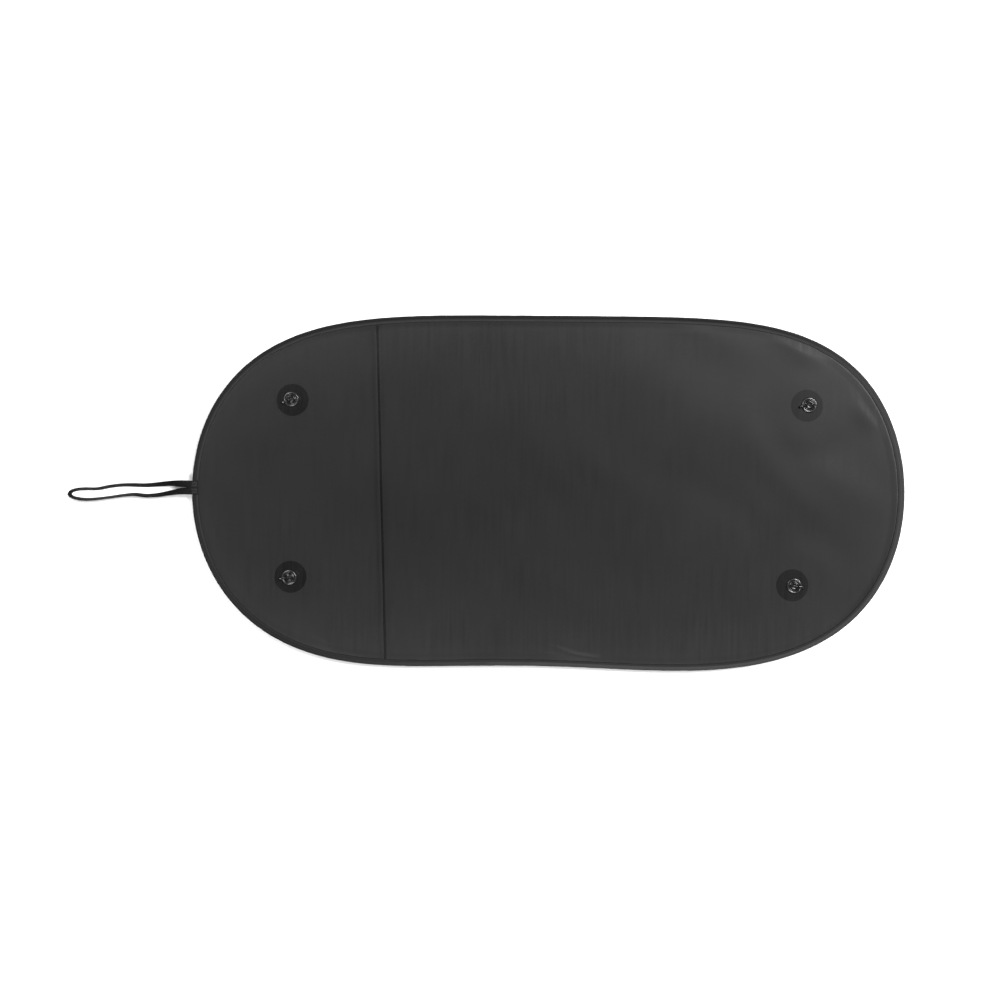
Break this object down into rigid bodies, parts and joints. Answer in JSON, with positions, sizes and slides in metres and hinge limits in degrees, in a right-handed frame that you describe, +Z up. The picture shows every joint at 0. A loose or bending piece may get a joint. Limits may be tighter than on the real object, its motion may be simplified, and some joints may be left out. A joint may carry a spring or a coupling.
{
  "type": "rear window sunshade",
  "caption": "Oval dark mesh sunshade with a spring wire rim, folded edge binding, suction cups held in eyelets and a tape loop at one end.",
  "frame": {"origin": "under the middle of the oval, on the plane of the suction cups' lips", "axes": "+X along the oval's length away from the tape loop, +Y across it, +Z up out of the cabin side"},
  "size_m": [1.1757, 0.4972, 0.0191],
  "materials": {
    "mesh_cloth": "fine open warp-knit mesh, matt black",
    "binding_tape": "woven edge tape, faint sheen, one row of stitches",
    "loop_tape": "narrow woven elastic tape",
    "sewing_thread": "twisted thread",
    "spring_steel": "bright drawn wire",
    "crimp_brass": "crimped sleeve",
    "black_pvc": "glossy soft PVC",
    "black_enamel": "glossy black enamel on rolled sheet"
  },
  "bodies": {
    "shade": {"mesh_panel": "mesh_cloth", "edge_binding": "binding_tape", "frame_wire": "spring_steel", "wire_ferrule": "crimp_brass", "strap_loop": "loop_tape", "eyelet_upper_left": "black_enamel", "eyelet_lower_left": "black_enamel", "eyelet_upper_right": "black_enamel", "eyelet_lower_right": "black_enamel", "eyelet_washer_upper_left": "black_enamel", "eyelet_washer_lower_left": "black_enamel", "eyelet_washer_upper_right": "black_enamel", "eyelet_washer_lower_right": "black_enamel"},
    "cup_upper_left": {"suction_cup_upper_left": "black_pvc"},
    "cup_lower_left": {"suction_cup_lower_left": "black_pvc"},
    "cup_upper_right": {"suction_cup_upper_right": "black_pvc"},
    "cup_lower_right": {"suction_cup_lower_right": "black_pvc"}
  },
  "joints": [
    {"name": "cup_turn_upper_left", "type": "hinge", "parent": "shade", "child": "cup_upper_left", "pos_m": [-0.3618, 0.1288, 0.014], "axis": [0, 0, 1], "continuous": true},
    {"name": "cup_turn_lower_left", "type": "hinge", "parent": "shade", "child": "cup_lower_left", "pos_m": [-0.3629, -0.1212, 0.014], "axis": [0, 0, 1], "continuous": true},
    {"name": "cup_turn_upper_right", "type": "hinge", "parent": "shade", "child": "cup_upper_right", "pos_m": [0.3653, 0.1258, 0.014], "axis": [0, 0, 1], "continuous": true},
    {"name": "cup_turn_lower_right", "type": "hinge", "parent": "shade", "child": "cup_lower_right", "pos_m": [0.3462, -0.1282, 0.014], "axis": [0, 0, 1], "continuous": true}
  ]
}
